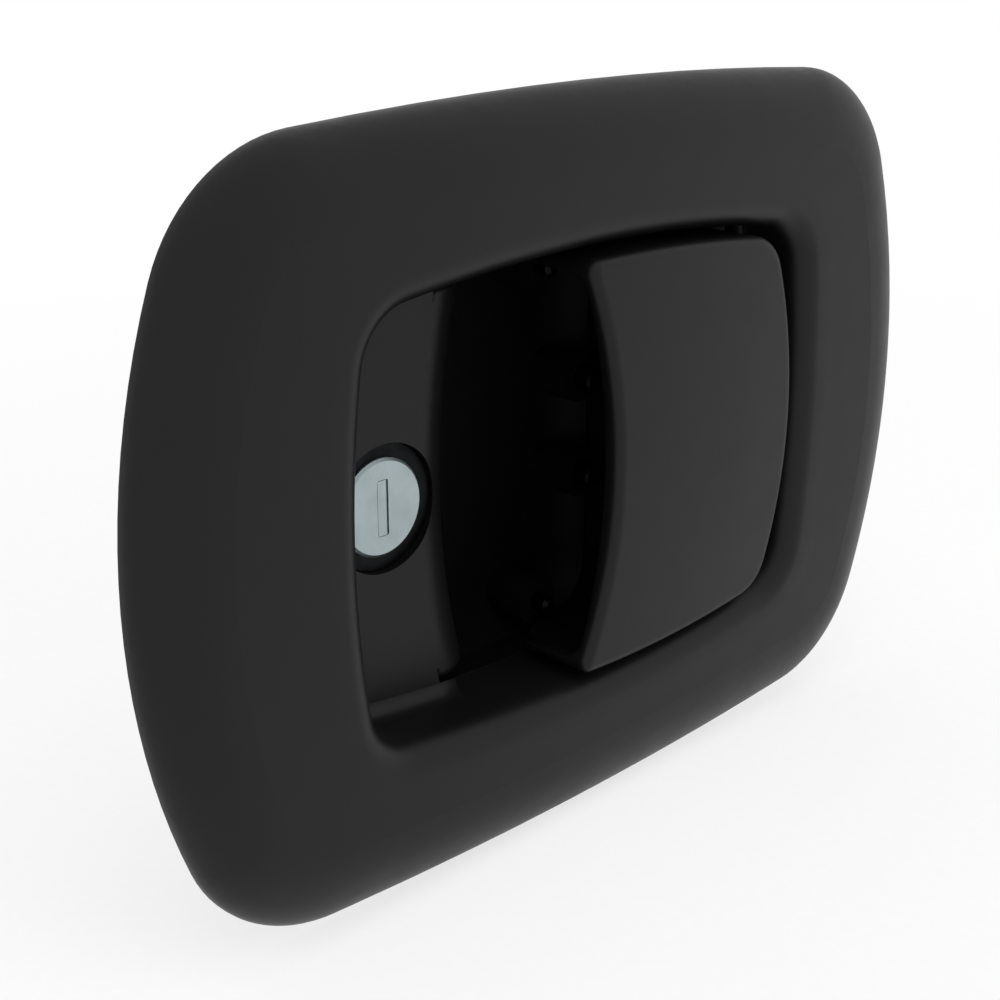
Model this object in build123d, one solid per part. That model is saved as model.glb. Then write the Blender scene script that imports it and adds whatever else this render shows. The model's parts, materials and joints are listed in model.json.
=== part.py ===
from build123d import *

import os
from math import asin, cos, degrees, radians, sin, sqrt

os.makedirs("parts", exist_ok=True)

# Flush paddle latch with a key lock and a slam bolt. Millimetres.
# X is to the right, Z is up, and Y runs from the user into the door.
# The origin is the middle of the bezel, in the plane of the door's skin.

# ---- bezel ----
bezel_width = 160.0
bezel_height = 112.2
side_bow = 5.55            # bulge of the left and right edges
top_bow = 1.75             # bulge of the top and bottom edges
bezel_corner = 24.0
edge_land = 0.3            # straight wall next to the door skin
bezel_rise = 6.7           # face in front of the door skin
rounding = 12.0            # distance from the edge at which the face is level
skin = 2.6                 # moulded thickness of the face
wall = 2.5                 # recess walls and ledge

gasket_land = 3.5          # rim outside the gasket groove
gasket_width = 4.0
gasket_depth = 1.8
gasket_wall = 2.5          # rim inside the gasket groove
gasket_ease = 0.1

insert_margin_x = 18.0       # from the frame's side to the insert
insert_margin_z = 22.1       # from the frame's top to the insert
insert_bore = 2.1
insert_radius = 3.2
insert_length = 4.6
insert_boss = 5.2

# ---- recess in the bezel ----
mouth_left = -48.0
mouth_right = 47.3         # at the corners; the middle bulges out
mouth_half = 33.5          # half height at the corners
mouth_bow_left = 0.6
mouth_bow_right = 3.2
mouth_bow_top = 1.2
mouth_corner = 10.0
rollover = 3.0             # rounding from the face into the recess
floor_fillet = 2.4
ledge_depth = 5.0          # ledge and shallow floor, behind the door skin
ledge_edge = -28.0         # where the ledge starts to roll over, at mid height
ledge_sweep = 118.0        # radius of that edge, seen from the front
lip_radius = 10.0
lip_half = 27.7            # half length of the rolled lip

# ---- pocket housing ----
cup_wall = 2.0
cup_floor = 2.5
pocket_depth = 20.0
pocket_right = 19.0
pocket_fillet = 8.0
post_radius = 4.0
post_depth = 12.0          # front of the posts
stop_x = 4.0               # posts that the paddle's cheeks rest on
stop_z = 27.6
guide_x = 14.0             # posts that carry the drawbar's guide pins
guide_z = 8.0
guide_pin_radius = 2.0
tip_reach = 3.2            # how far screw tips and pins stand out of the posts
flange_screw_x = -40.0
flange_screw_z = 27.0
screw_boss = 3.6
flange_screw_radius = 1.45
flange_screw_head = 2.8
keeper_screw_head = 2.9

# ---- paddle ----
paddle_left = 0.0          # at the corners
paddle_right = 42.3        # at the corners
paddle_half = 32.0
paddle_hollow = 4.5        # how far the pull edge bows in
paddle_bow = 5.0           # how far the hinge edge bows out
paddle_face = -6.1         # depth of the face at its edges
paddle_crown = 420.0       # radius of the domed face
paddle_plate = 2.6
paddle_side = 2.0          # cheeks and skirt
paddle_pull_corner = 3.0
paddle_hinge_corner = 9.0
paddle_edge = 1.6          # rounding of the face's edge
cheek_lean = 3.3           # how far the cheeks reach past the pull edge
cheek_depth = 11.7
cheek_round = 3.0
cheek_end = pocket_right - 4.0   # where the deep part of the cheeks ends
axis_x = 38.0
axis_y = 1.5
pin_radius = 1.5
hub_radius = 3.2
swing = 35.0               # degrees from rest to fully pulled
skirt_end = -1.2           # depth of the skirt at the hinge edge
arm_z = 16.0
arm_width = 6.0
arm_thick = 5.6
nose_radius = 3.0
nose_depth = 19.0
running = 0.05             # radial clearance of a running fit
gap = 0.3                  # clearance between sliding or neighbouring pieces
pin_overhang = 1.6
clip_radius = 4.0
clip_thick = 0.8
spring_wire = 0.55
spring_turns = 4
spring_leg = 9.0

# ---- drawbar ----
travel = 10.5
bar_thick = 2.0
tab_z = 16.0
tab_width = 5.0
finger_half = 5.0
bar_half = 12.3
bar_left = -6.0
bar_right = 30.0
tail_half = 5.0
hook_x = 50.0
hook_half = 4.0
keeper_width = 8.0
keeper_thick = 1.5
keeper_overlap = 4.4       # strap past its screws

# ---- bolt and its case ----
bolt_tail = 46.0
bolt_nose = 92.0
bolt_half = 9.0
case_base = 2.0
case_wall = 2.5
case_left = 22.0
case_wide = 49.0           # right end of the wide mounting base
case_half = 31.0
case_right = 78.0
cover_left = 54.0
cover_thick = 2.0
cover_screw_z = 13.6
cover_post = 3.2
cover_screw_radius = 1.25
cover_screw_head = 2.4
cover_screw_margin = 4.0     # from the cover's ends
case_screw_radius = 1.5
case_screw_head = 2.9
case_screw_places = ((31.0, 26.0), (45.0, 16.0))
case_boss = 3.5
case_boss_height = 4.0
bolt_spring_y = 15.0
bolt_spring_radius = 2.0
bolt_spring_wire = 0.4
bolt_spring_turns = 12
bolt_bore = 2.7
bolt_bore_depth = 18.0
slot_depth = 4.0

# ---- lock ----
lock_x = -33.9
seat_radius = 9.5
ring_radius = 9.3
ring_drop = 1.3            # lock ring below the ledge
barrel_radius = 8.2
barrel_end = 22.3
lock_boss = 11.5
plug_face_radius = 7.2
plug_proud = 0.8           # plug face in front of the lock ring
plug_radius = 6.0
plug_head = 2.5
keyway_height = 8.3
keyway_width = 2.0
keyway_depth = 15.0
tail_square = 6.4
nut_flats = 20.0
nut_height = 3.5
wafer_count = 5
wafer_first = 4.0          # first wafer behind the plug's face
wafer_pitch = 2.0
wafer_thick = 1.0
wafer_width = 5.0
wafer_height = 10.2
wafer_travel = 0.8
shutter_thick = 0.8
cam_hub = 6.0
cam_width = 9.0
cam_reach = 18.0
cam_gap = 0.4
washer_thick = 1.0
cam_screw_head = 3.4
cam_screw_reach = 3.6        # into the plug's tail

# Depths that several pieces share.
insert_x = bezel_width / 2 - insert_margin_x
insert_z = bezel_height / 2 - insert_margin_z
floor_back = ledge_depth + wall
tray_depth = ledge_depth + lip_radius
tray_back = tray_depth + cup_wall
cup_back = pocket_depth + cup_floor
flange_back = floor_back + cup_wall
base_back = flange_back + case_base
bar_front = cup_back + gap
bar_back = bar_front + bar_thick
keeper_front = bar_back + gap + 0.1
keeper_back = keeper_front + keeper_thick
bolt_front = base_back + gap - 0.1
bolt_back = cup_back - gap + 0.1
plug_front = ledge_depth + ring_drop - plug_proud
ring_front = ledge_depth + ring_drop
# The tabs of the drawbar stand just left of the paddle's noses.
tab_right = axis_x - nose_radius - gap
# The finger of the drawbar ends just short of the turned cam.
finger_left = lock_x + cam_reach + cam_gap
# The windows leave room for the arms over their whole swing.
window_left = (axis_x - (base_back - axis_y) * sin(radians(swing)) / cos(radians(swing))
               - arm_thick / 2 / cos(radians(swing)) - 2 * gap)
window_right = axis_x + arm_thick / 2 + 2 * gap
window_half = arm_width / 2 + 2 * gap


# ---- shared shapes ----
def front_plane(depth):
    # A sketch here has its x along X and its y along Z, as seen from the front.
    return Plane(origin=(0, depth, 0), x_dir=(1, 0, 0), z_dir=(0, -1, 0))


def slab(sketch, near, far):
    # Front-view sketch made solid from depth near to depth far.
    return extrude(front_plane(far) * sketch, amount=far - near)


def disc(x, z, radius, near, far):
    return slab(Pos(x, z) * Circle(radius), near, far)


def block(left, right, near, far, low, high):
    box = Box(right - left, far - near, high - low)
    return Pos((left + right) / 2, (near + far) / 2, (low + high) / 2) * box


def half_space(right):
    # Everything left of X = right, as a front-view sketch.
    size = 2 * bezel_width
    return Pos(right - size / 2, 0) * Rectangle(size, size)


def side(start, end, bow):
    # One side of an outline, bulging to the right of its run by bow.
    a, b = Vector(*start), Vector(*end)
    along = (b - a).normalized()
    middle = (a + b) * 0.5 + Vector(along.Y, -along.X) * bow
    return ThreePointArc(a, middle, b) if bow else Line(a, b)


def bowed(left, right, half, bow_left, bow_right, bow_top):
    # Four arcs between sharp corners, drawn anticlockwise.
    corners = [(left, -half), (right, -half), (right, half), (left, half)]
    bows = (bow_top, bow_right, bow_top, bow_left)
    run = [side(corners[i], corners[(i + 1) % 4], bows[i]) for i in range(4)]
    return make_face(run)


def mirrored(piece):
    # The piece and its reflection in the plane Z = 0.
    return piece + mirror(piece, about=Plane.XY)


def mirrored_pair(piece):
    return Compound(children=[*piece.solids(), *mirror(piece, about=Plane.XY).solids()])


def ring_along_z(radius, low, high, x=axis_x, y=axis_y):
    return Pos(x, y, low) * Cylinder(radius, high - low, align=(Align.CENTER, Align.CENTER, Align.MIN))


def rod_along_x(radius, left, right, y, z=0.0):
    rod = Rot(0, 90, 0) * Cylinder(radius, right - left, align=(Align.CENTER, Align.CENTER, Align.MIN))
    return Pos(left, y, z) * rod


def turned(points, x, z):
    # Revolves a list of (radius, depth) points about an axis along Y.
    profile = make_face(Polyline(*[(r, d) for r, d in points], close=True))
    return Pos(x, 0, z) * revolve(profile, Axis.Y)


def cross_drive(x, z, radius, near, depth):
    # Cross recess cut into the front of a screw's head.
    bars = Rectangle(2 * radius, radius * 0.4) + Rectangle(radius * 0.4, 2 * radius)
    return slab(Pos(x, z) * bars, near, near + depth)


def rear_screw(x, z, shank, head, seat, tip):
    # Pan-head screw put in from the back: its head lies behind depth seat.
    thick = head * 0.6
    body = turned([(0, tip), (shank * 0.6, tip), (shank, tip + shank * 0.4), (shank, seat),
                   (head, seat), (head, seat + thick * 0.55), (head * 0.75, seat + thick),
                   (0, seat + thick)], x, z)
    return body - cross_drive(x, z, head * 0.55, seat + thick * 0.45, thick)


# ---- bezel ----
def bezel_outline(inset):
    core_x = bezel_width / 2 - side_bow - bezel_corner
    core_z = bezel_height / 2 - top_bow - bezel_corner
    core = bowed(-core_x, core_x, core_z, side_bow, side_bow, top_bow)
    return offset(core, amount=bezel_corner - inset)


def mouth_outline(grow=0.0):
    core = bowed(mouth_left + mouth_corner, mouth_right - mouth_corner, mouth_half - mouth_corner,
                 mouth_bow_left, mouth_bow_right, mouth_bow_top)
    return offset(core, amount=mouth_corner + grow)


def bezel_shell():
    # The face is a loft whose edge is a quarter of an ellipse.
    edge = slab(bezel_outline(0), -edge_land, 0)
    rise = bezel_rise - edge_land
    sections = []
    for angle in range(0, 91, 15):
        inset = rounding * (1 - cos(radians(angle)))
        depth = -edge_land - rise * sin(radians(angle))
        sections.append(front_plane(depth) * bezel_outline(inset))
    shell = edge + loft(sections)
    hollow_inset = gasket_land + gasket_width + gasket_wall
    shell -= slab(bezel_outline(hollow_inset), skin - bezel_rise, 0)
    shell += slab(mouth_outline(wall), skin - bezel_rise - 0.5, floor_back)
    return shell


def recess_core():
    # What the recess removes, from in front of the face down to the ledge.
    core = slab(mouth_outline(), -bezel_rise - 1, ledge_depth)
    floor_edges = core.edges().filter_by_position(Axis.Y, ledge_depth - 0.01, ledge_depth + 0.01)
    return fillet(floor_edges, floor_fillet)


def round_mouth(shell):
    edges = shell.edges().filter_by_position(Axis.Y, -bezel_rise - 0.01, -bezel_rise + 0.01)
    limit = bezel_width / 2 - rounding - side_bow
    mouth = [e for e in edges if abs(e.center().X) < limit - 4 and abs(e.center().Z) < mouth_half + wall]
    return fillet(mouth, rollover)


def swept_circle(inset=0.0):
    # Seen from the front, the ledge's edge is an arc of this circle.
    return Pos(ledge_edge + ledge_sweep, 0) * Circle(ledge_sweep - inset)


def pocket_outline(grow=0.0):
    # Deep pocket: from the end of the lip to pocket_right.
    shape = swept_circle(lip_radius - grow) & half_space(pocket_right + grow)
    shape &= Rectangle(bezel_width, 2 * (mouth_half + grow) + mouth_bow_top)
    return fillet(shape.vertices(), mouth_corner + grow)


def rolled_lip():
    # Quarter ring that carries the ledge round into the deep pocket.
    centre = (ledge_edge, tray_depth)
    ring = Pos(*centre) * (Circle(lip_radius) - Circle(lip_radius - wall))
    ring &= Pos(centre[0] + lip_radius / 2, centre[1] - lip_radius / 2) * Rectangle(lip_radius, lip_radius)
    axis = Axis((ledge_edge + ledge_sweep, 0, 0), (0, 1, 0))
    half_angle = degrees(asin(lip_half / ledge_sweep)) + 2
    lip = revolve(ring, axis, 2 * half_angle)
    lip = lip.rotate(axis, -half_angle)
    return lip & block(mouth_left, 0, 0, tray_depth, -lip_half, lip_half)


def bezel():
    body = round_mouth(bezel_shell() - recess_core())
    body -= slab(mouth_outline() & swept_circle() & half_space(pocket_right),
                 ledge_depth - floor_fillet - 0.5, floor_back)
    body += rolled_lip()
    body += disc(lock_x, 0, lock_boss, floor_back, tray_depth)
    body -= disc(lock_x, 0, seat_radius, ledge_depth - 1, floor_back)
    body -= disc(lock_x, 0, barrel_radius + running, floor_back - 1, tray_depth)
    body += mirrored(disc(flange_screw_x, flange_screw_z, screw_boss, floor_back, tray_depth))
    body -= mirrored(disc(flange_screw_x, flange_screw_z, flange_screw_radius + running,
                          floor_back + 0.5, tray_depth))
    for x in (-insert_x, insert_x):
        body += mirrored(disc(x, insert_z, insert_boss, skin - bezel_rise - 0.5, 0))
        body -= mirrored(disc(x, insert_z, insert_radius + running, -insert_length - 0.2, 0))
    groove = bezel_outline(gasket_land) - bezel_outline(gasket_land + gasket_width)
    body -= slab(groove, -gasket_depth, 0)
    body -= arm_windows(ledge_depth - 1, floor_back)
    body -= case_screw_holes(ledge_depth, floor_back, countersunk=True)
    pin_end = mouth_half + mouth_bow_top + wall + pin_overhang
    return body - ring_along_z(pin_radius + running, -pin_end, pin_end)


def arm_windows(near, far):
    return mirrored(block(window_left, window_right, near, far, arm_z - window_half, arm_z + window_half))


def case_screw_holes(near, far, countersunk=False):
    holes = Part()
    for x, z in case_screw_places:
        holes += disc(x, z, case_screw_radius + running, near - 1, far)
        if countersunk:
            holes += countersink(x, z, case_screw_head + running)
    return mirrored(holes)


def countersink(x, z, radius):
    depth = radius - case_screw_radius
    return turned([(0, ledge_depth - 1), (radius, ledge_depth - 1), (radius, ledge_depth),
                   (case_screw_radius, ledge_depth + depth), (0, ledge_depth + depth)], x, z)


def rim_gasket():
    outer = bezel_outline(gasket_land + gasket_ease)
    inner = bezel_outline(gasket_land + gasket_width - gasket_ease)
    return slab(outer - inner, -gasket_depth, 0)


def mounting_inserts():
    # Knurled brass bush with a waist groove.
    half = insert_length / 2
    waist = insert_radius * 0.88
    points = [(insert_bore, 0), (insert_radius, 0), (insert_radius, 0.6 - half),
              (waist, 0.2 - half), (waist, -0.2 - half), (insert_radius, -0.6 - half),
              (insert_radius, -insert_length), (insert_bore, -insert_length)]
    bushes = [turned(points, x, z) for x in (-insert_x, insert_x) for z in (-insert_z, insert_z)]
    return Compound(children=[b.solid() for b in bushes])


# ---- pocket housing ----
def posts(near, far, radius):
    body = disc(stop_x, stop_z, radius, near, far) + disc(guide_x, guide_z, radius, near, far)
    return mirrored(body)


def pocket_core(grow, bottom):
    core = slab(pocket_outline(grow), floor_back, bottom)
    edges = core.edges().filter_by_position(Axis.Y, bottom - 0.01, bottom + 0.01)
    return fillet(edges, pocket_fillet + grow)


def pocket_housing():
    left_of_pocket = half_space(pocket_right + cup_wall)
    body = slab(mouth_outline(wall), floor_back, flange_back)
    body += slab(mouth_outline(wall) & left_of_pocket, floor_back, tray_back)
    body += pocket_core(cup_wall, cup_back)
    body -= slab(mouth_outline() & half_space(pocket_right), floor_back - 1, tray_depth)
    body -= pocket_core(0, pocket_depth)
    body += posts(post_depth, pocket_depth + 1, post_radius)
    body += mirrored(disc(stop_x, stop_z, post_radius, cup_back - 1, keeper_front))
    body -= mirrored(disc(stop_x, stop_z, case_screw_radius + running, post_depth - 1, keeper_front))
    body -= mirrored(disc(guide_x, guide_z, guide_pin_radius + running, post_depth - 1, cup_back))
    body -= disc(lock_x, 0, barrel_radius + 2 * running, tray_depth - 1, tray_back)
    body -= mirrored(disc(flange_screw_x, flange_screw_z, flange_screw_radius + gap / 2,
                          tray_depth - 1, tray_back))
    body -= arm_windows(floor_back - 1, flange_back)
    return body - case_screw_holes(floor_back, flange_back)


def flange_screws():
    return mirrored_pair(rear_screw(flange_screw_x, flange_screw_z, flange_screw_radius, flange_screw_head,
                                    tray_back, floor_back + 1))


def guide_pins():
    front = post_depth - tip_reach
    pin = disc(guide_x, guide_z, guide_pin_radius, front, bar_back - gap)
    return mirrored_pair(chamfer(pin.edges().filter_by(GeomType.CIRCLE), 0.4))


def drawbar_keeper():
    # Flat strap over the drawbar, from post to post.
    half = stop_z + keeper_overlap
    plate = Pos(stop_x, 0) * RectangleRounded(keeper_width, 2 * half, keeper_width / 2 - 0.1)
    plate -= Pos(stop_x, stop_z) * Circle(case_screw_radius + gap / 2)
    plate -= Pos(stop_x, -stop_z) * Circle(case_screw_radius + gap / 2)
    return slab(plate, keeper_front, keeper_back)


def keeper_screws():
    return mirrored_pair(rear_screw(stop_x, stop_z, case_screw_radius, keeper_screw_head,
                                    keeper_back, post_depth - tip_reach))


# ---- paddle ----
def paddle_outline(inset=0.0):
    right = paddle_right - inset
    half = paddle_half - inset
    face = bowed(paddle_left + inset, right, half, -paddle_hollow, paddle_bow, 0)
    pull = [v for v in face.vertices() if v.X < right / 2]
    face = fillet(pull, paddle_pull_corner - inset)
    hinge = [v for v in face.vertices() if v.X > right - 0.1]
    return fillet(hinge, paddle_hinge_corner - inset)


def cheek_profile():
    # Side view of a cheek: deep at the pull edge, shallow over the hinge.
    face = paddle_face + paddle_edge
    start = paddle_left + 0.4
    points = [(start, face), (paddle_left - cheek_lean, cheek_depth - cheek_round),
              (paddle_left - cheek_lean + cheek_round, cheek_depth), (cheek_end, cheek_depth),
              (cheek_end + cheek_round, axis_y + hub_radius), (axis_x, axis_y + hub_radius),
              (paddle_right + paddle_bow, skirt_end), (paddle_right + paddle_bow, face)]
    return make_face(Polyline(*points, close=True))


def side_solid(profile, low, high):
    # A side-view (X, Y) profile made solid from Z = low to Z = high.
    return Pos(0, 0, low) * extrude(profile, amount=high - low)


def paddle_plate_body():
    outline = paddle_outline()
    middle_x = (paddle_left + paddle_right + paddle_bow) / 2
    reach = sqrt((paddle_right - middle_x) ** 2 + (paddle_half - paddle_hinge_corner) ** 2)
    crown_top = paddle_crown - sqrt(paddle_crown ** 2 - reach ** 2)
    back = paddle_face + paddle_plate
    plate = slab(outline, paddle_face - crown_top - 1, back)
    dome = Pos(middle_x, paddle_face - crown_top + paddle_crown, 0) * Sphere(paddle_crown)
    plate &= dome
    face_edges = [e for e in plate.edges() if e.center().Y < paddle_face + 0.9]
    return fillet(face_edges, paddle_edge)


def paddle():
    outline = paddle_outline()
    back = paddle_face + paddle_plate
    body = paddle_plate_body()
    skirt = slab(outline - paddle_outline(paddle_side), back - 1, cheek_depth)
    skirt &= side_solid(cheek_profile(), -paddle_half, paddle_half)
    grip = cheek_end / 2
    skirt -= block(-grip, grip, back - 1, cheek_depth, -paddle_half, paddle_half)
    body += skirt
    front_part = make_face(Polyline((-grip, back - 1), (grip, back - 1), (grip, cheek_depth),
                                    (-grip, cheek_depth), close=True))
    cheek = side_solid(cheek_profile() & front_part, paddle_half - paddle_side, paddle_half)
    body += mirrored(cheek)
    body += mirrored(paddle_arm())
    bore_end = paddle_half + 1
    return body - ring_along_z(pin_radius + running, -bore_end, bore_end)


def paddle_arm():
    # Lever that reaches back through its window to the drawbar's tab.
    back = paddle_face + paddle_plate
    shape = Pos(axis_x, (back + nose_depth) / 2) * Rectangle(arm_thick, nose_depth - back)
    shape += Pos(axis_x, nose_depth) * Circle(nose_radius)
    shape += Pos(axis_x, axis_y) * Circle(hub_radius)
    foot = make_face(Polyline((axis_x - 9, back - 0.5), (axis_x + 5, back - 0.5),
                              (axis_x + 2, axis_y), (axis_x - 2, axis_y + 2), close=True))
    low = arm_z - arm_width / 2
    return side_solid(shape + foot, low, low + arm_width)


def paddle_pivot_pin():
    end = mouth_half + mouth_bow_top + wall + pin_overhang
    pin = ring_along_z(pin_radius, -end, end)
    ends = pin.edges().filter_by(GeomType.CIRCLE)
    pin = chamfer(ends, 0.3)
    groove = ring_along_z(pin_radius + 1, end - 1.2, end - 1.2 + clip_thick)
    groove -= ring_along_z(pin_radius - 0.3, end - 1.3, end)
    return pin - mirrored(groove)


def pivot_clips():
    # Open retaining rings that sit in the grooves at the pin's ends.
    end = mouth_half + mouth_bow_top + wall + pin_overhang
    low = end - 1.2 + 0.05
    shape = Pos(axis_x, axis_y) * (Circle(clip_radius) - Circle(pin_radius - 0.25))
    shape -= Pos(axis_x, axis_y + clip_radius / 2) * Rectangle(2 * pin_radius - 0.8, clip_radius * 1.2)
    return mirrored_pair(side_solid(shape, low, low + clip_thick - 0.1))


def wire_coil(radius, wire, pitch, turns):
    path = Helix(pitch, pitch * turns, radius)
    start = Plane(origin=path @ 0, z_dir=path % 0)
    return sweep(start * Circle(wire), path=path, is_frenet=True)


def paddle_return_spring():
    # Torsion spring round the pin: one leg on the floor, one on the plate.
    pitch = 2 * spring_wire + 0.15
    radius = pin_radius + 2 * gap + spring_wire / 2
    coil = wire_coil(radius, spring_wire, pitch, spring_turns)
    low = -pitch * spring_turns / 2
    coil = Pos(axis_x, axis_y, low) * coil
    floor_leg = rod_along_x(spring_wire, axis_x, axis_x + spring_leg, axis_y + radius, low)
    plate_leg = rod_along_x(spring_wire, axis_x - spring_leg, axis_x, axis_y - radius, -low)
    return coil, floor_leg, plate_leg


# ---- drawbar ----
def drawbar():
    body_mid = (bar_left + bar_right) / 2
    plate = Pos(body_mid, 0) * RectangleRounded(bar_right - bar_left, 2 * bar_half, 2)
    finger_right = bar_left + 3
    plate += Pos((finger_left + finger_right) / 2, 0) * Rectangle(finger_right - finger_left,
                                                                  2 * finger_half)
    wing = tab_z + tab_width / 2
    plate += Pos(tab_right - 3.5, 0) * Rectangle(7, 2 * wing)
    tail_right = hook_x + bar_thick
    plate += Pos((bar_right + tail_right) / 2 - 1, 0) * Rectangle(tail_right - bar_right + 2,
                                                                  2 * tail_half)
    slot_length = travel + 2 * (guide_pin_radius + gap)
    slot = Pos(guide_x + travel / 2, guide_z) * SlotOverall(slot_length, 2 * guide_pin_radius + gap)
    plate -= slot
    plate -= mirror(slot, about=Plane.XZ)
    bar = slab(plate, bar_front, bar_back)
    # Tabs and hook are bent forward from the plate.
    tab = block(tab_right - bar_thick, tab_right, base_back + 1.5, bar_front + 0.5,
                tab_z - tab_width / 2, tab_z + tab_width / 2)
    bar += mirrored(tab)
    hook = block(hook_x, hook_x + bar_thick, bolt_back - slot_depth + gap, bar_front + 0.5,
                 -hook_half, hook_half)
    return bar + hook


# ---- bolt and case ----
def latch_bolt():
    body = block(bolt_tail, bolt_nose, bolt_front, bolt_back, -bolt_half, bolt_half)
    slam = make_face(Polyline((case_right + 1.5, bolt_back + 0.1), (bolt_nose + 1, bolt_back + 0.1),
                              (bolt_nose + 1, bolt_front + 2.2), (bolt_nose - 1, bolt_front + 2.2),
                              close=True))
    body -= side_solid(slam, -bolt_half - 1, bolt_half + 1)
    long_edges = body.edges().filter_by(Axis.X)
    body = chamfer(long_edges, 0.5)
    slot_left = hook_x - gap
    slot_right = hook_x + bar_thick + travel + 1
    body -= block(slot_left, slot_right, bolt_back - slot_depth, bolt_back + 1,
                  -hook_half - gap, hook_half + gap)
    return body - rod_along_x(bolt_bore, bolt_tail - 1, bolt_tail + bolt_bore_depth, bolt_spring_y)


def bolt_case():
    base = Pos((case_left + case_wide) / 2, 0) * RectangleRounded(case_wide - case_left,
                                                                2 * case_half, 4)
    wall_out = bolt_half + gap - 0.1 + case_wall
    base += Pos((case_left + case_right) / 2, 0) * Rectangle(case_right - case_left, 2 * wall_out)
    body = slab(base, flange_back, base_back)
    channel = block(case_left, case_right, base_back - 0.5, cup_back, -wall_out, wall_out)
    inner = bolt_half + gap - 0.1
    channel -= block(case_left + case_base, case_right + 1, base_back - 1, cup_back + 1, -inner, inner)
    body += channel
    for x in (cover_left + cover_screw_margin, case_right - cover_screw_margin):
        body += mirrored(disc(x, cover_screw_z, cover_post, flange_back, cup_back))
        body -= mirrored(disc(x, cover_screw_z, cover_screw_radius + running, base_back + 3, cup_back))
    for x, z in case_screw_places:
        body += mirrored(disc(x, z, case_boss, flange_back, base_back + case_boss_height))
    body -= mirrored(block(cover_left, case_right + 1, base_back, cup_back + 1, 0, inner))
    body -= case_screw_holes(flange_back, base_back + case_boss_height)
    body -= arm_windows(flange_back - 1, base_back)
    # The drawbar's tail and hook pass over the channel.
    guide = rod_along_x(bolt_spring_radius - bolt_spring_wire - gap / 2, case_left + 1,
                        case_left + 8, bolt_spring_y)
    return body + guide


def case_cover():
    half = cover_screw_z + cover_post
    middle = (cover_left + case_right) / 2
    plate = Pos(middle, 0) * RectangleRounded(case_right - cover_left, 2 * half, cover_post)
    for x in (cover_left + cover_screw_margin, case_right - cover_screw_margin):
        for z in (-cover_screw_z, cover_screw_z):
            plate -= Pos(x, z) * Circle(cover_screw_radius + gap / 2)
    return slab(plate, cup_back, cup_back + cover_thick)


def cover_screws():
    seat = cup_back + cover_thick
    pieces = [rear_screw(x, z, cover_screw_radius, cover_screw_head, seat, base_back + 4).solid()
              for x in (cover_left + cover_screw_margin, case_right - cover_screw_margin) for z in (-cover_screw_z, cover_screw_z)]
    return Compound(children=pieces)


def case_screws():
    # Countersunk screws from the recess into the case.
    tip = base_back + case_boss_height - 0.5
    pieces = []
    for x, z in case_screw_places:
        slope = case_screw_head - case_screw_radius
        body = turned([(0, ledge_depth), (case_screw_head, ledge_depth),
                       (case_screw_radius, ledge_depth + slope), (case_screw_radius, tip - 0.6),
                       (case_screw_radius * 0.6, tip), (0, tip)], x, z)
        body -= cross_drive(x, z, case_screw_head * 0.6, ledge_depth - 0.5, 1.4)
        pieces += [body.solid(), mirror(body, about=Plane.XY).solid()]
    return Compound(children=pieces)


def bolt_spring():
    start = case_left + case_base
    length = bolt_tail + bolt_bore_depth - start - 2 * bolt_spring_wire - 0.2
    coil = wire_coil(bolt_spring_radius, bolt_spring_wire, length / bolt_spring_turns,
                     bolt_spring_turns)
    return Pos(start + bolt_spring_wire + 0.1, bolt_spring_y, 0) * Rot(0, 90, 0) * coil


# ---- lock ----
def lock_barrel():
    # Threaded body with a front ring, bored for the plug.
    head_back = plug_front + plug_head
    bore = plug_radius + running
    points = [(plug_face_radius + running, ring_front), (ring_radius, ring_front),
              (ring_radius, floor_back), (barrel_radius, floor_back), (barrel_radius, barrel_end),
              (bore, barrel_end), (bore, head_back + running), (plug_face_radius + running, head_back + running)]
    body = turned(points, lock_x, 0)
    # Grooves that the wafers drop into.
    groove = block(lock_x - wafer_width / 2 - 0.2, lock_x + wafer_width / 2 + 0.2,
                   plug_front + wafer_first - 1, plug_front + wafer_first + wafer_count * wafer_pitch,
                   0, wafer_height / 2 + wafer_travel + gap)
    return body - mirrored(groove)


def lock_nut():
    hexagon = RegularPolygon(nut_flats / 2, 6, major_radius=False)
    nut = slab(Pos(lock_x, 0) * (hexagon - Circle(barrel_radius + running)), tray_back,
               tray_back + nut_height)
    cone = turned([(0, tray_back - 1), (nut_flats / 2 + 1.6, tray_back - 1),
                   (nut_flats / 2 + 1.6, tray_back + nut_height - 1.0),
                   (nut_flats / 2 + 0.2, tray_back + nut_height),
                   (nut_flats / 2 + 0.2, tray_back + nut_height + 1), (0, tray_back + nut_height + 1)],
                  lock_x, 0)
    return nut & cone


def keyway_sketch(ease=0.0):
    return RectangleRounded(keyway_width - 2 * ease, keyway_height - 2 * ease, 0.3)


def wafer_depths():
    return [plug_front + wafer_first + i * wafer_pitch for i in range(wafer_count)]


def lock_plug():
    head_back = plug_front + plug_head
    bar_start = bar_front - gap / 2
    points = [(0, plug_front), (plug_face_radius - 0.4, plug_front), (plug_face_radius, plug_front + 0.4),
              (plug_face_radius, head_back), (plug_radius, head_back), (plug_radius, bar_start),
              (0, bar_start)]
    body = turned(points, lock_x, 0)
    body += slab(Pos(lock_x, 0) * Rectangle(tail_square, tail_square), bar_start - 0.5, bar_back)
    body -= slab(Pos(lock_x, 0) * keyway_sketch(), plug_front - 1, plug_front + keyway_depth)
    for depth in wafer_depths():
        slot = Pos(lock_x, 0) * Rectangle(wafer_width + 0.1, 2 * plug_radius + 1)
        body -= slab(slot, depth - 0.05, depth + wafer_thick + 0.05)
    return body - disc(lock_x, 0, case_screw_radius + running, bar_back - 4, bar_back)


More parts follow.
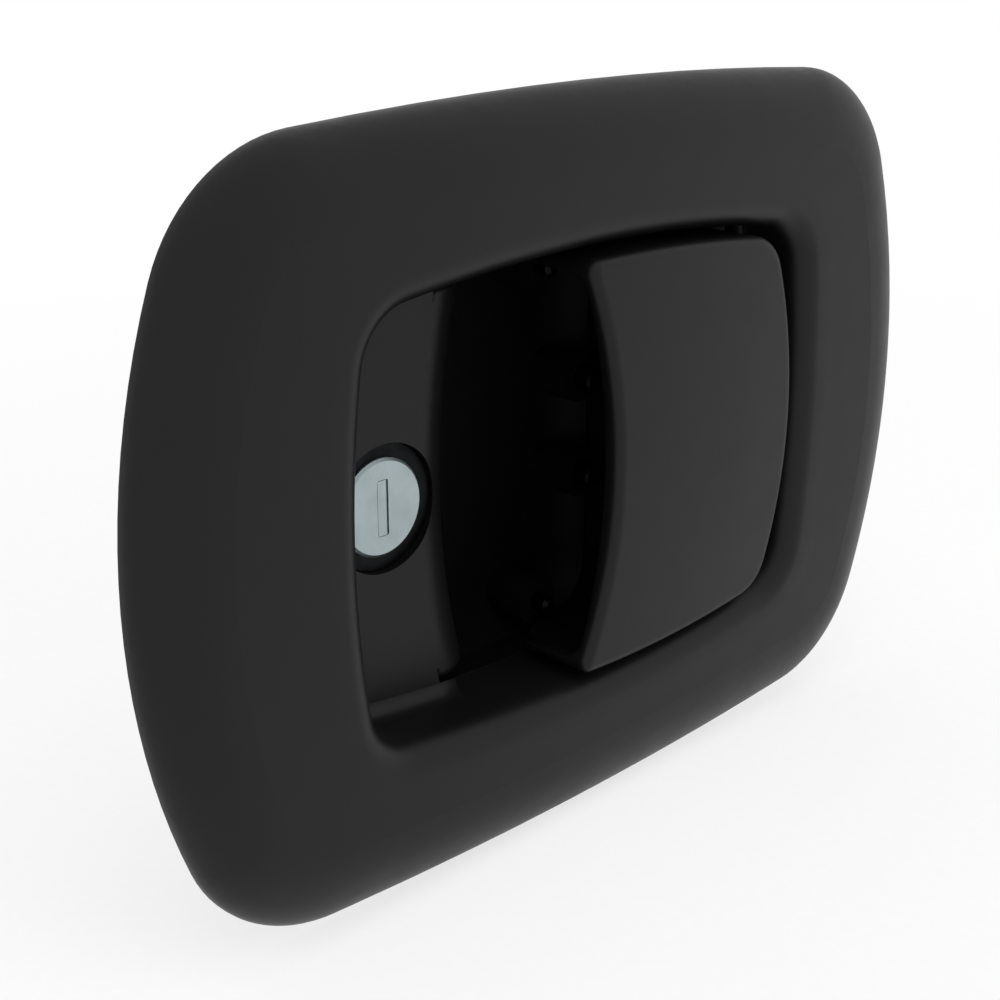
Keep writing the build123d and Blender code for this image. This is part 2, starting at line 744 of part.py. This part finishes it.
def keyway_shutter():
    # Sprung flap, flush with the plug's face, hinged at its right edge.
    half_w = keyway_width / 2 - 0.06
    thick = shutter_thick
    flap = Pos(lock_x - thick / 4, plug_front + thick / 2) * Rectangle(2 * half_w - thick / 2, thick)
    flap += Pos(lock_x + half_w - thick / 2, plug_front + thick / 2) * Circle(thick / 2)
    half_h = keyway_height / 2 - 0.08
    return side_solid(flap, -half_h, half_h)


def lock_wafers():
    pieces = []
    for depth in wafer_depths():
        shape = RectangleRounded(wafer_width, wafer_height, 0.6) - Rectangle(keyway_width + 0.6, 6.6)
        pieces.append(slab(Pos(lock_x, 0) * shape, depth, depth + wafer_thick).solid())
    return Compound(children=pieces)


def lock_cam():
    arm = Pos(0, -cam_reach / 2) * Rectangle(cam_width, cam_reach)
    shape = (Circle(cam_hub) + arm) & Circle(cam_reach)
    shape -= Rectangle(tail_square + 0.1, tail_square + 0.1)
    return slab(Pos(lock_x, 0) * shape, bar_front, bar_back)


def cam_washer():
    return slab(Pos(lock_x, 0) * (Circle(cam_hub) - Circle(case_screw_radius + gap / 2)), bar_back,
                bar_back + washer_thick)


def cam_screw():
    return rear_screw(lock_x, 0, case_screw_radius, cam_screw_head,
                      bar_back + washer_thick, bar_back - cam_screw_reach)


coil, floor_leg, plate_leg = paddle_return_spring()

pieces = {
    "bezel": bezel(),
    "rim_gasket": rim_gasket(),
    "mounting_inserts": mounting_inserts(),
    "pocket_housing": pocket_housing(),
    "flange_screws": flange_screws(),
    "guide_pins": guide_pins(),
    "drawbar_keeper": drawbar_keeper(),
    "keeper_screws": keeper_screws(),
    "paddle": paddle(),
    "paddle_pivot_pin": paddle_pivot_pin(),
    "pivot_clips": pivot_clips(),
    "paddle_return_spring": coil + floor_leg + plate_leg,
    "drawbar": drawbar(),
    "latch_bolt": latch_bolt(),
    "bolt_spring": bolt_spring(),
    "bolt_case": bolt_case(),
    "case_cover": case_cover(),
    "cover_screws": cover_screws(),
    "case_screws": case_screws(),
    "lock_barrel": lock_barrel(),
    "lock_nut": lock_nut(),
    "lock_plug": lock_plug(),
    "keyway_shutter": keyway_shutter(),
    "lock_wafers": lock_wafers(),
    "lock_cam": lock_cam(),
    "cam_washer": cam_washer(),
    "cam_screw": cam_screw(),
}

for name, piece in pieces.items():
    export_step(piece, f"parts/{name}.step")
    print(name, "solids", len(piece.solids()))
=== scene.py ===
import bpy
import json
import numpy as np
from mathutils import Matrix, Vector


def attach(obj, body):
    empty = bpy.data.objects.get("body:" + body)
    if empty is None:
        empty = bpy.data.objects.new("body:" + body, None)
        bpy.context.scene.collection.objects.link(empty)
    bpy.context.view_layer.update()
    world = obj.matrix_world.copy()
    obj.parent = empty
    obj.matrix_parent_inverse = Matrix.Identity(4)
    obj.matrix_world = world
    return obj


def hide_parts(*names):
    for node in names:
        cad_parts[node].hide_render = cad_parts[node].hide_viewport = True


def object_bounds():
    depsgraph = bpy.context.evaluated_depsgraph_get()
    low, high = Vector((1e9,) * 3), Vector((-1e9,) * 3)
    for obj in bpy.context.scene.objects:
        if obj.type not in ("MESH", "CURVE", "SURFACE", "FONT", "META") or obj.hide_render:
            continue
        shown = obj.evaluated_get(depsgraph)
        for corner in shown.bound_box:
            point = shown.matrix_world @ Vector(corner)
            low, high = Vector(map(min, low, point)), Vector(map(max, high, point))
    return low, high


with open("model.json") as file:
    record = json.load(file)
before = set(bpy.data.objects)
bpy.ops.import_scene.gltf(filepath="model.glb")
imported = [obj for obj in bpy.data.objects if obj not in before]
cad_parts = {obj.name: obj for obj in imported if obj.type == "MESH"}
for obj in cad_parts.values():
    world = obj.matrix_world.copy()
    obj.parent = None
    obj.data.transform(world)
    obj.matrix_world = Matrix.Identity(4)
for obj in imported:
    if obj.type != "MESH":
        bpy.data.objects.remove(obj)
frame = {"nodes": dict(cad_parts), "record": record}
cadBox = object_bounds()
print("frame loaded:", len(frame["nodes"]), "nodes")


def toLinear(hexColour):
    # sRGB hex to linear RGBA
    raw = [int(hexColour[i:i + 2], 16) / 255 for i in (1, 3, 5)]
    return [c / 12.92 if c <= 0.04045 else ((c + 0.055) / 1.055) ** 2.4 for c in raw] + [1.0]


def perMetre(mm):
    # pattern scale for features of this size, Object coordinates being metres
    return 1000.0 / mm


def addNode(tree, kind, props=None, values=None, links=None):
    # a node with its settings, its inputs' values and what feeds them, by input name or number
    node = tree.nodes.new(kind)
    for name, value in (props or {}).items():
        setattr(node, name, value)
    for name, value in (values or {}).items():
        node.inputs[name].default_value = value
    for name, source in (links or {}).items():
        tree.links.new(source, node.inputs[name])
    return node


def startMaterial(name):
    material = bpy.data.materials.new(name)
    material.use_nodes = True
    tree = material.node_tree
    tree.nodes.clear()
    shader = addNode(tree, "ShaderNodeBsdfPrincipled")
    addNode(tree, "ShaderNodeOutputMaterial", links={"Surface": shader.outputs["BSDF"]})
    place = addNode(tree, "ShaderNodeTexCoord").outputs["Object"]
    return material, tree, shader, place


# the middle band that holds most of a noise's values
noiseBand = {"From Min": 0.35, "From Max": 0.65}


def noiseAt(tree, place, mm, detail=2.0, stretch=(1, 1, 1)):
    # noise whose blobs are about this many millimetres, longer along a stretched axis
    held = addNode(tree, "ShaderNodeMapping",
                   values={"Scale": [1.0 / s for s in stretch]}, links={"Vector": place})
    noise = addNode(tree, "ShaderNodeTexNoise",
                    values={"Scale": perMetre(mm), "Detail": detail, "Roughness": 0.55},
                    links={"Vector": held.outputs["Vector"]})
    return noise.outputs["Fac"]


def paint(tree, shader, pattern, first, second):
    # base colour that drifts between two tones
    share = addNode(tree, "ShaderNodeMapRange", values=noiseBand, links={"Value": pattern})
    tones = addNode(tree, "ShaderNodeMix", props={"data_type": "RGBA"},
                    values={6: toLinear(first), 7: toLinear(second)}, links={0: share.outputs["Result"]})
    tree.links.new(tones.outputs[2], shader.inputs["Base Color"])


def roughen(tree, shader, layers):
    # roughness as a sum of layers, each a pattern spread over two values
    total = None
    for pattern, (low, high) in layers:
        layer = addNode(tree, "ShaderNodeMapRange", values={**noiseBand, "To Min": low, "To Max": high},
                        links={"Value": pattern}).outputs["Result"]
        total = layer if total is None else addNode(
            tree, "ShaderNodeMath", props={"operation": "ADD"}, links={0: total, 1: layer}).outputs[0]
    tree.links.new(total, shader.inputs["Roughness"])


def emboss(tree, shader, pattern, mm):
    # real relief of this many millimetres
    bump = addNode(tree, "ShaderNodeBump", values={"Strength": 1.0, "Distance": mm / 1000},
                   links={"Height": pattern})
    tree.links.new(bump.outputs["Normal"], shader.inputs["Normal"])


# gloss under the usual 0.5 gives the shallow sheen of a textured tool
nylonLook = {"tone": "#0c0c0d", "flow": "#0f0f10", "grainMm": 0.22, "reliefMm": 0.004,
             "flowMm": 38.0, "flowStretch": (1.0, 1.0, 2.2), "rough": (0.38, 0.43),
             "rubMm": 6.0, "rub": (-0.015, 0.02), "ior": 1.53, "gloss": 0.21}
# the same plastic for the deep pocket, in a coarser tool; its darker tone and weaker gloss are painted
# shade for the recess
shadedPocketLook = {"tone": "#090909", "flow": "#0c0c0c", "grainMm": 0.3, "reliefMm": 0.01,
              "flowMm": 25.0, "flowStretch": (1.0, 1.0, 2.2), "rough": (0.5, 0.6),
              "rubMm": 6.0, "rub": (-0.015, 0.02), "ior": 1.50, "gloss": 0.07}


def mouldedNylon(name, look):
    # glass-filled polyamide 6, injection moulded in a lightly textured tool: a satin black, with
    # a fine grain and faint flow marks
    material, tree, shader, place = startMaterial(name)
    flow = noiseAt(tree, place, look["flowMm"], 3.0, look["flowStretch"])
    rub = noiseAt(tree, place, look["rubMm"], 4.0)
    paint(tree, shader, flow, look["tone"], look["flow"])
    roughen(tree, shader, [(flow, look["rough"]), (rub, look["rub"])])
    emboss(tree, shader, noiseAt(tree, place, look["grainMm"]), look["reliefMm"])
    shader.inputs["IOR"].default_value = look["ior"]
    shader.inputs["Specular IOR Level"].default_value = look["gloss"]
    return material


rubberLook = {"tone": "#1d1d1e", "bloom": "#29292a", "skinMm": 0.5, "reliefMm": 0.01, "bloomMm": 9.0,
              "rough": (0.72, 0.86), "ior": 1.51}


def extrudedRubber(name, look):
    # EPDM cord, extruded and cured: matt, with a greyish bloom in patches
    material, tree, shader, place = startMaterial(name)
    bloom = noiseAt(tree, place, look["bloomMm"], 4.0)
    paint(tree, shader, bloom, look["tone"], look["bloom"])
    roughen(tree, shader, [(bloom, look["rough"])])
    emboss(tree, shader, noiseAt(tree, place, look["skinMm"], 3.0), look["reliefMm"])
    shader.inputs["IOR"].default_value = look["ior"]
    return material


# how far the patches of a metal shift its roughness
patchWear = (-0.04, 0.04)


def metalFinish(name, look):
    # bright colour from the metal, broken by patches and by tool marks along one axis
    material, tree, shader, place = startMaterial(name)
    patch = noiseAt(tree, place, look["patchMm"], 4.0)
    marks = noiseAt(tree, place, look["markMm"], 2.0, look["along"])
    paint(tree, shader, patch, look["tone"], look["patch"])
    roughen(tree, shader, [(marks, look["rough"]), (patch, patchWear)])
    emboss(tree, shader, marks, look["reliefMm"])
    shader.inputs["Metallic"].default_value = 1.0
    return material


# turned brass bushes: warm yellow, rings too fine to see but for a soft sheen
brassLook = {"tone": "#c9a04f", "patch": "#b58c40", "patchMm": 3.0, "markMm": 0.2, "along": (1, 6, 1),
             "reliefMm": 0.004, "rough": (0.24, 0.34)}
# zinc plated and blue passivated steel: pale bluish grey, slightly cloudy
zincPlateLook = {"tone": "#b9bec4", "patch": "#a6acb4", "patchMm": 4.0, "markMm": 0.25, "along": (1, 1, 5),
                 "reliefMm": 0.004, "rough": (0.26, 0.38)}
# drawn spring wire, oiled: a darker steel with fine lines
wireLook = {"tone": "#8d8f92", "patch": "#77797c", "patchMm": 2.0, "markMm": 0.12, "along": (5, 1, 1),
            "reliefMm": 0.003, "rough": (0.22, 0.34)}
# die-cast zinc, as cast and tumbled: dull grey with a faint pebbled skin
castLook = {"tone": "#8f9396", "patch": "#7d8184", "patchMm": 7.0, "markMm": 0.5, "along": (1, 1, 1),
            "reliefMm": 0.02, "rough": (0.42, 0.55)}
# die-cast lock barrel with a black chromate: almost black, a little metallic
barrelLook = {"tone": "#1e1f20", "patch": "#191a1b", "patchMm": 3.0, "markMm": 0.3, "along": (1, 1, 1),
              "reliefMm": 0.006, "rough": (0.42, 0.52)}
# satin nickel plug face: pale blue grey, so even that it reads almost as enamel
plugLook = {"tone": "#aebabd", "patch": "#a8b4b7", "patchMm": 5.0, "markMm": 0.12, "along": (1, 1, 9),
            "reliefMm": 0.003, "rough": (0.40, 0.50)}
# steel blackened in hot oxide: dark, with a thin oily sheen
blackedLook = {"tone": "#151616", "patch": "#101111", "patchMm": 2.5, "markMm": 0.2, "along": (1, 4, 1),
               "reliefMm": 0.004, "rough": (0.3, 0.42)}
# stamped brass wafers, brighter at the sheared edges
waferLook = {"tone": "#cfa95a", "patch": "#bd9546", "patchMm": 2.0, "markMm": 0.15, "along": (1, 1, 4),
             "reliefMm": 0.004, "rough": (0.24, 0.36)}

finishes = {
    "black_nylon": mouldedNylon("satinBlackPolyamide", nylonLook),
    # the pocket's darker, less glossy plastic is painted shade for the deep recess
    "pocket_plastic": mouldedNylon("mattBlackPolyamideWithPaintedShade", shadedPocketLook),
    "gasket_rubber": extrudedRubber("extrudedEpdm", rubberLook),
    "insert_brass": metalFinish("turnedBrass", brassLook),
    "zinc_steel": metalFinish("zincPlatedSteel", zincPlateLook),
    "spring_steel": metalFinish("drawnSpringWire", wireLook),
    "cast_zinc": metalFinish("dieCastZinc", castLook),
    "lock_body": metalFinish("blackChromatedZinc", barrelLook),
    "lock_face": metalFinish("satinNickel", plugLook),
    "wafer_brass": metalFinish("stampedBrass", waferLook),
}

blackedSteel = metalFinish("blackOxideSteel", blackedLook)
blackedNodes = ("keeper_screws", "guide_pins", "paddle_pivot_pin", "case_screws")

for part in frame["record"]["subparts"]:
    finish = blackedSteel if part["node"] in blackedNodes else finishes[part["material_slot"]]
    for holder in frame["nodes"][part["node"]].material_slots:
        holder.material = finish
print("materials made:", len(finishes))


def outlineOf(corners, bows, cuts, perSide=24, perCorner=10):
    # closed outline as (x, z) in mm, anticlockwise: four arcs that bulge by bows, and round corners
    # that start cuts away from the sharp ones
    corners = np.array(corners, float)
    sides = []
    for i in range(4):
        a, b = corners[i], corners[(i + 1) % 4]
        chord = np.linalg.norm(b - a)
        along = (b - a) / chord
        out = np.array([along[1], -along[0]])
        radius = (chord ** 2 / 4 + bows[i] ** 2) / (2 * bows[i])
        low, high = -chord / 2 + cuts[i], chord / 2 - cuts[(i + 1) % 4]
        angle = np.arcsin(np.linspace(low, high, perSide) / radius)
        run = radius * np.sin(angle)[:, None] * along
        rise = (radius * np.cos(angle) - radius + bows[i])[:, None] * out
        sides.append((a + b) / 2 + run + rise)
    points = []
    for i in range(4):
        points.append(sides[i])
        start, end = sides[i][-1], sides[(i + 1) % 4][0]
        first, last = start - sides[i][-2], sides[(i + 1) % 4][1] - end
        first, last = first / np.linalg.norm(first), last / np.linalg.norm(last)
        # where the two sides' directions meet
        reach = np.linalg.solve(np.array([first, last]).T, end - start)[0]
        peak = start + reach * first
        weight = np.cos(np.arccos(np.clip(first @ last, -1, 1)) / 2)
        t = np.linspace(0, 1, perCorner + 2)[1:-1, None]
        share = (1 - t) ** 2 + 2 * weight * t * (1 - t) + t ** 2
        points.append(((1 - t) ** 2 * start + 2 * weight * t * (1 - t) * peak + t ** 2 * end) / share)
    return np.vstack(points)


def normalsOf(path):
    # outward directions of a closed anticlockwise outline
    step = np.roll(path, -1, axis=0) - np.roll(path, 1, axis=0)
    step /= np.linalg.norm(step, axis=1)[:, None]
    return np.stack([step[:, 1], -step[:, 0]], axis=1)


def gridPiece(name, rows, material, body, capped=False):
    # closed loops of (x, y, z) in mm, joined row to row; capped closes the first and last row
    rows = np.array(rows)
    count, around = rows.shape[:2]
    index = np.arange(count * around).reshape(count, around)
    here, there = index[:-1], index[1:]
    quads = np.stack([here, there, np.roll(there, -1, axis=1), np.roll(here, -1, axis=1)], axis=-1)
    faces = [tuple(q) for q in quads.reshape(-1, 4).tolist()]
    if capped:
        faces += [tuple(index[0].tolist()), tuple(index[-1][::-1].tolist())]
    mesh = bpy.data.meshes.new(name)
    mesh.from_pydata((rows.reshape(-1, 3) / 1000).tolist(), [], faces)
    mesh.polygons.foreach_set("use_smooth", [True] * len(mesh.polygons))
    mesh.materials.append(material)
    piece = bpy.data.objects.new(name, mesh)
    bpy.context.collection.objects.link(piece)
    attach(piece, body)
    return piece


def loopAt(path, depth):
    # (x, z) outline and its depth, one number or one per point, as (x, y, z)
    return np.stack([path[:, 0], np.broadcast_to(depth, len(path)), path[:, 1]], axis=1)


def sliceAt(profile, z):
    # (x, y) profile at one height, as (x, y, z)
    return np.stack([profile[:, 0], profile[:, 1], np.full(len(profile), z)], axis=1)


def arcOf(start, end, count):
    # evenly spaced angles, degrees in and radians out
    return np.radians(np.linspace(start, end, count))


def highOrLow(side):
    return "Low" if side < 0 else "High"


mouthLook = {"corners": [(-44.1, -30.2), (45.6, -30.0), (45.6, 30.0), (-44.1, 30.2)],
             "bows": (3.45, 2.2, 3.45, 2.9), "cuts": (6.3, 6.3, 6.3, 6.3),
             "faceDepth": -6.7, "skin": 0.02, "apron": 10.0, "flushShare": 0.7, "rollover": 4.3,
             "floorDepth": 5.0, "fillet": 2.4, "sharp": 0.05,
             "pocketLeft": -19.0, "pocketRight": 18.0, "pocketDepth": 9.0}


def mouthLining(look):
    # the recess's mouth: a soft rollover from the face, a wall, and a fillet on to the floor, or
    # straight down where the pocket opens
    inner = outlineOf(look["corners"], look["bows"], look["cuts"])
    out = normalsOf(inner)
    face = look["faceDepth"] - look["skin"]
    rows = [loopAt(inner + look["apron"] * out, look["faceDepth"] + look["skin"]),
            loopAt(inner + look["flushShare"] * look["apron"] * out, face)]
    for turn in arcOf(0, 90, 11):
        grow = look["rollover"] * (1 - np.sin(turn))
        rows.append(loopAt(inner + grow * out, face + look["rollover"] * (1 - np.cos(turn))))
    onFloor = (inner[:, 0] < look["pocketLeft"]) | (inner[:, 0] > look["pocketRight"])
    fillet = np.where(onFloor, look["fillet"], look["sharp"])[:, None]
    deep = np.where(onFloor, look["floorDepth"] - look["skin"], look["pocketDepth"])
    for turn in arcOf(0, 90, 7):
        path = inner - fillet * (1 - np.cos(turn)) * out
        rows.append(loopAt(path, deep - fillet[:, 0] * (1 - np.sin(turn))))
    gridPiece("mouthLining", rows[::-1], finishes["black_nylon"], "housing")


mouthLining(mouthLook)

lipLook = {"edge": -28.0, "sweep": 118.0, "radius": 10.0, "thick": 2.5, "depth": 15.0,
           "from": 27.0, "to": 29.3}


def lipEnds(look):
    # the last millimetres of the rolled lip: a quarter ring that follows the ledge's swept edge
    turn = arcOf(0, 90, 13)
    circle = np.stack([np.sin(turn), -np.cos(turn)], axis=1)
    inside = look["radius"] - look["thick"]
    ring = np.vstack([look["radius"] * circle, inside * circle[::-1]])[::-1]
    for side in (-1, 1):
        rows = []
        for z in np.linspace(look["from"], look["to"], 4):
            edge = look["edge"] + look["sweep"] - np.sqrt(look["sweep"] ** 2 - z ** 2)
            rows.append(sliceAt(ring + [edge, look["depth"]], side * z))
        gridPiece("lipEnd" + highOrLow(side), rows[::side], finishes["black_nylon"],
                  "housing", capped=True)


lipEnds(lipLook)
print("mouth lining and lip ends made")

paddleLook = {"corners": [(-5.4, -32.0), (38.6, -29.7), (38.6, 29.7), (-5.4, 32.0)],
              "bows": (0.9, 5.4, 0.9, -6.2), "cuts": (2.6, 4.6, 4.6, 2.6), "middle": (19.6, 0.0),
              "face": -7.15, "crown": 1.0, "domeRadius": 510.0, "edge": 1.6, "back": -4.6, "wall": 2.0,
              "innerCorner": 3.5, "openFrom": 1.5, "openHalf": 30.0, "softEdge": 0.4, "softStep": 0.12,
              "wallLine": [(-5.4, 6.1), (-4.9, 6.1), (4.0, 11.7), (12.0, 11.7), (15.0, 4.7), (38.0, 4.7),
                           (43.6, -1.0)]}


def paddleShell(look):
    # the pull plate: a domed face with a round edge, side walls as deep as wallLine says, open on
    # the pull side between two cheeks
    path = outlineOf(look["corners"], look["bows"], look["cuts"], perSide=60, perCorner=12)
    out = normalsOf(path)
    middle = np.array(look["middle"])

    def faceAt(points):
        away = ((points - middle) ** 2).sum(axis=1)
        return look["face"] - look["crown"] + away / (2 * look["domeRadius"])

    rim = path - look["edge"] * out
    rows = []
    for share in np.linspace(0.02, 0.98, 16):
        points = middle + share * (rim - middle)
        rows.append(loopAt(points, faceAt(points)))
    for turn in arcOf(0, 90, 9):
        inset = look["edge"] * (1 - np.sin(turn))
        rows.append(loopAt(path - inset * out, faceAt(rim) + look["edge"] * (1 - np.cos(turn))))
    line = np.array(look["wallLine"])
    deep = np.interp(path[:, 0], line[:, 0], line[:, 1])
    # the pull side stays open behind the plate, with round inner corners
    pullSide = (path[:, 0] < look["openFrom"]) & (np.abs(path[:, 1]) < look["openHalf"])
    into = np.clip(np.abs(path[:, 1]) - (look["openHalf"] - look["innerCorner"]), 0, look["innerCorner"])
    lifted = look["back"] + look["innerCorner"] - np.sqrt(look["innerCorner"] ** 2 - into ** 2)
    deep = np.where(pullSide, lifted, deep)
    soft = look["softEdge"]
    step = look["softStep"]
    rows.append(loopAt(path, deep - soft))
    rows.append(loopAt(path - step * out, deep - step))
    rows.append(loopAt(path - soft * out, deep))
    inner = path - look["wall"] * out
    rows.append(loopAt(inner, deep))
    rows.append(loopAt(inner, look["back"]))
    for share in (0.8, 0.4, 0.02):
        rows.append(loopAt(middle + share * (inner - middle), look["back"]))
    shell = gridPiece("paddleShell", rows, finishes["black_nylon"], "paddle", capped=True)
    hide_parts("paddle")


paddleShell(paddleLook)

armLook = {"axis": (38.0, 1.5), "hub": 3.2, "hubTurn": 50.0, "nose": (38.0, 19.0), "noseRadius": 3.0,
           "root": -5.6, "rootLeft": -9.0, "rootRight": 4.0, "low": 13.0, "high": 19.0,
           "bevel": 0.3, "middleDepth": 8.0, "endScale": (0.96, 0.985, 1.0)}


def leverArms(look):
    # two levers that reach back through the floor: a flared foot, a hub on the pin, a round nose
    x, y = look["axis"]
    turn = arcOf(0, 180, 13)
    nose = look["nose"] + look["noseRadius"] * np.stack([np.cos(turn), np.sin(turn)], axis=1)
    swell = arcOf(-look["hubTurn"], look["hubTurn"], 9)
    hub = look["hub"] * np.stack([np.cos(swell), np.sin(swell)], axis=1)
    profile = np.vstack([[(x + look["rootRight"], look["root"])], look["axis"] + hub, nose,
                         look["axis"] - hub, [(x + look["rootLeft"], look["root"])]])[::-1]
    middle = np.array([x, look["middleDepth"], 0])
    bevel = look["bevel"]
    for side in (-1, 1):
        rows = [sliceAt(profile, side * z)
                for z in (look["low"], look["low"] + bevel, look["high"] - bevel, look["high"])]
        for end in (0, 3):
            rows[end] = middle + (rows[end] - middle) * look["endScale"]
        arm = gridPiece("leverArm" + highOrLow(side), rows[::side], finishes["black_nylon"],
                        "paddle", capped=True)
        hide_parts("paddle")


leverArms(armLook)
print("paddle made")

stageLook = {"floorTone": "#f7f7f7", "fleck": "#f3f3f3", "fleckMm": 2.0, "floorHalf": 3.0,
             "worldTone": "#ffffff", "worldLevel": 0.7, "shadowShare": 0.3, "nearMm": 180.0, "farMm": 420.0}
lamps = [
    {"name": "topBox", "spot": (-0.2, -0.3, 1.1), "width": 0.9, "height": 0.9, "watts": 5},
    {"name": "frontBox", "spot": (0.4, -1.0, 0.35), "width": 0.8, "height": 0.6, "watts": 4},
]
# seen from the lock's side and a little above
shot = {"spot": (-0.17592, -0.15950, 0.08024), "aim": (-0.01642, 0.0, -0.001858), "lens": 59.92,
        "sensor": 36.0, "near": 0.005}


def aimedAt(spot, aim):
    # rotation that points an object's -Z from its spot to its aim
    return (Vector(aim) - Vector(spot)).to_track_quat("-Z", "Y").to_euler()


def seenWhite(tree):
    # 1 for rays of the camera, of gloss and of glass
    path = addNode(tree, "ShaderNodeLightPath")
    seen = path.outputs["Is Camera Ray"]
    for kind in ("Is Glossy Ray", "Is Transmission Ray"):
        seen = addNode(tree, "ShaderNodeMath", props={"operation": "MAXIMUM"},
                       links={0: seen, 1: path.outputs[kind]}).outputs[0]
    return seen


def paleFloor(look):
    # a painted board, seen as white, that keeps the object's soft shadow close to it
    low = cadBox[0][2]
    half = look["floorHalf"]
    mesh = bpy.data.meshes.new("floor")
    corners = [(x * half, y * half, low) for x, y in ((-1, -1), (1, -1), (1, 1), (-1, 1))]
    mesh.from_pydata(corners, [], [(0, 1, 2, 3)])
    floor = bpy.data.objects.new("floor", mesh)
    bpy.context.collection.objects.link(floor)
    material, tree, shader, place = startMaterial("paleBoard")
    paint(tree, shader, noiseAt(tree, place, look["fleckMm"]), look["floorTone"], look["fleck"])
    shader.inputs["Roughness"].default_value = 1.0
    shader.inputs["Specular IOR Level"].default_value = 0.0
    away = addNode(tree, "ShaderNodeVectorMath", props={"operation": "LENGTH"}, links={"Vector": place})
    share = addNode(tree, "ShaderNodeMapRange",
                    values={"From Min": look["nearMm"] / 1000, "From Max": look["farMm"] / 1000,
                            "To Min": 1 - look["shadowShare"], "To Max": 1.0},
                    links={"Value": away.outputs["Value"]})
    white = addNode(tree, "ShaderNodeEmission", values={"Color": (1, 1, 1, 1), "Strength": 1.0})
    amount = addNode(tree, "ShaderNodeMath", props={"operation": "MULTIPLY"},
                     links={0: share.outputs["Result"], 1: seenWhite(tree)})
    mix = addNode(tree, "ShaderNodeMixShader",
                  links={0: amount.outputs[0], 1: shader.outputs["BSDF"], 2: white.outputs["Emission"]})
    output = next(n for n in tree.nodes if n.bl_idname == "ShaderNodeOutputMaterial")
    tree.links.new(mix.outputs[0], output.inputs["Surface"])
    mesh.materials.append(material)


def softWorld(look):
    # even light for the object; the camera, gloss and glass see plain white
    world = bpy.data.worlds.new("studio")
    bpy.context.scene.world = world
    world.use_nodes = True
    tree = world.node_tree
    tree.nodes.clear()
    light = addNode(tree, "ShaderNodeBackground",
                    values={"Color": toLinear(look["worldTone"]), "Strength": look["worldLevel"]})
    white = addNode(tree, "ShaderNodeBackground", values={"Color": (1, 1, 1, 1), "Strength": 1.0})
    blend = addNode(tree, "ShaderNodeMixShader",
                    links={0: seenWhite(tree), 1: light.outputs[0], 2: white.outputs[0]})
    addNode(tree, "ShaderNodeOutputWorld", links={"Surface": blend.outputs[0]})


def softBox(look):
    # a large diffused lamp aimed at the object; gloss shows the white room and not the lamp
    lamp = bpy.data.lights.new(look["name"], "AREA")
    lamp.shape = "RECTANGLE"
    lamp.size = look["width"]
    lamp.size_y = look["height"]
    lamp.energy = look["watts"]
    holder = bpy.data.objects.new(look["name"], lamp)
    holder.location = look["spot"]
    holder.rotation_euler = aimedAt(look["spot"], (0, 0, 0))
    holder.visible_glossy = False
    bpy.context.collection.objects.link(holder)


def placeCamera(look):
    eye = bpy.data.cameras.new("camera")
    eye.lens = look["lens"]
    eye.sensor_width = look["sensor"]
    eye.clip_start = look["near"]
    camera = bpy.data.objects.new("camera", eye)
    camera.location = look["spot"]
    camera.rotation_euler = aimedAt(look["spot"], look["aim"])
    bpy.context.collection.objects.link(camera)
    bpy.context.scene.camera = camera


paleFloor(stageLook)
softWorld(stageLook)
for lampLook in lamps:
    softBox(lampLook)
placeCamera(shot)
print("stage lit")

bpy.context.scene.view_settings.view_transform = "Standard"
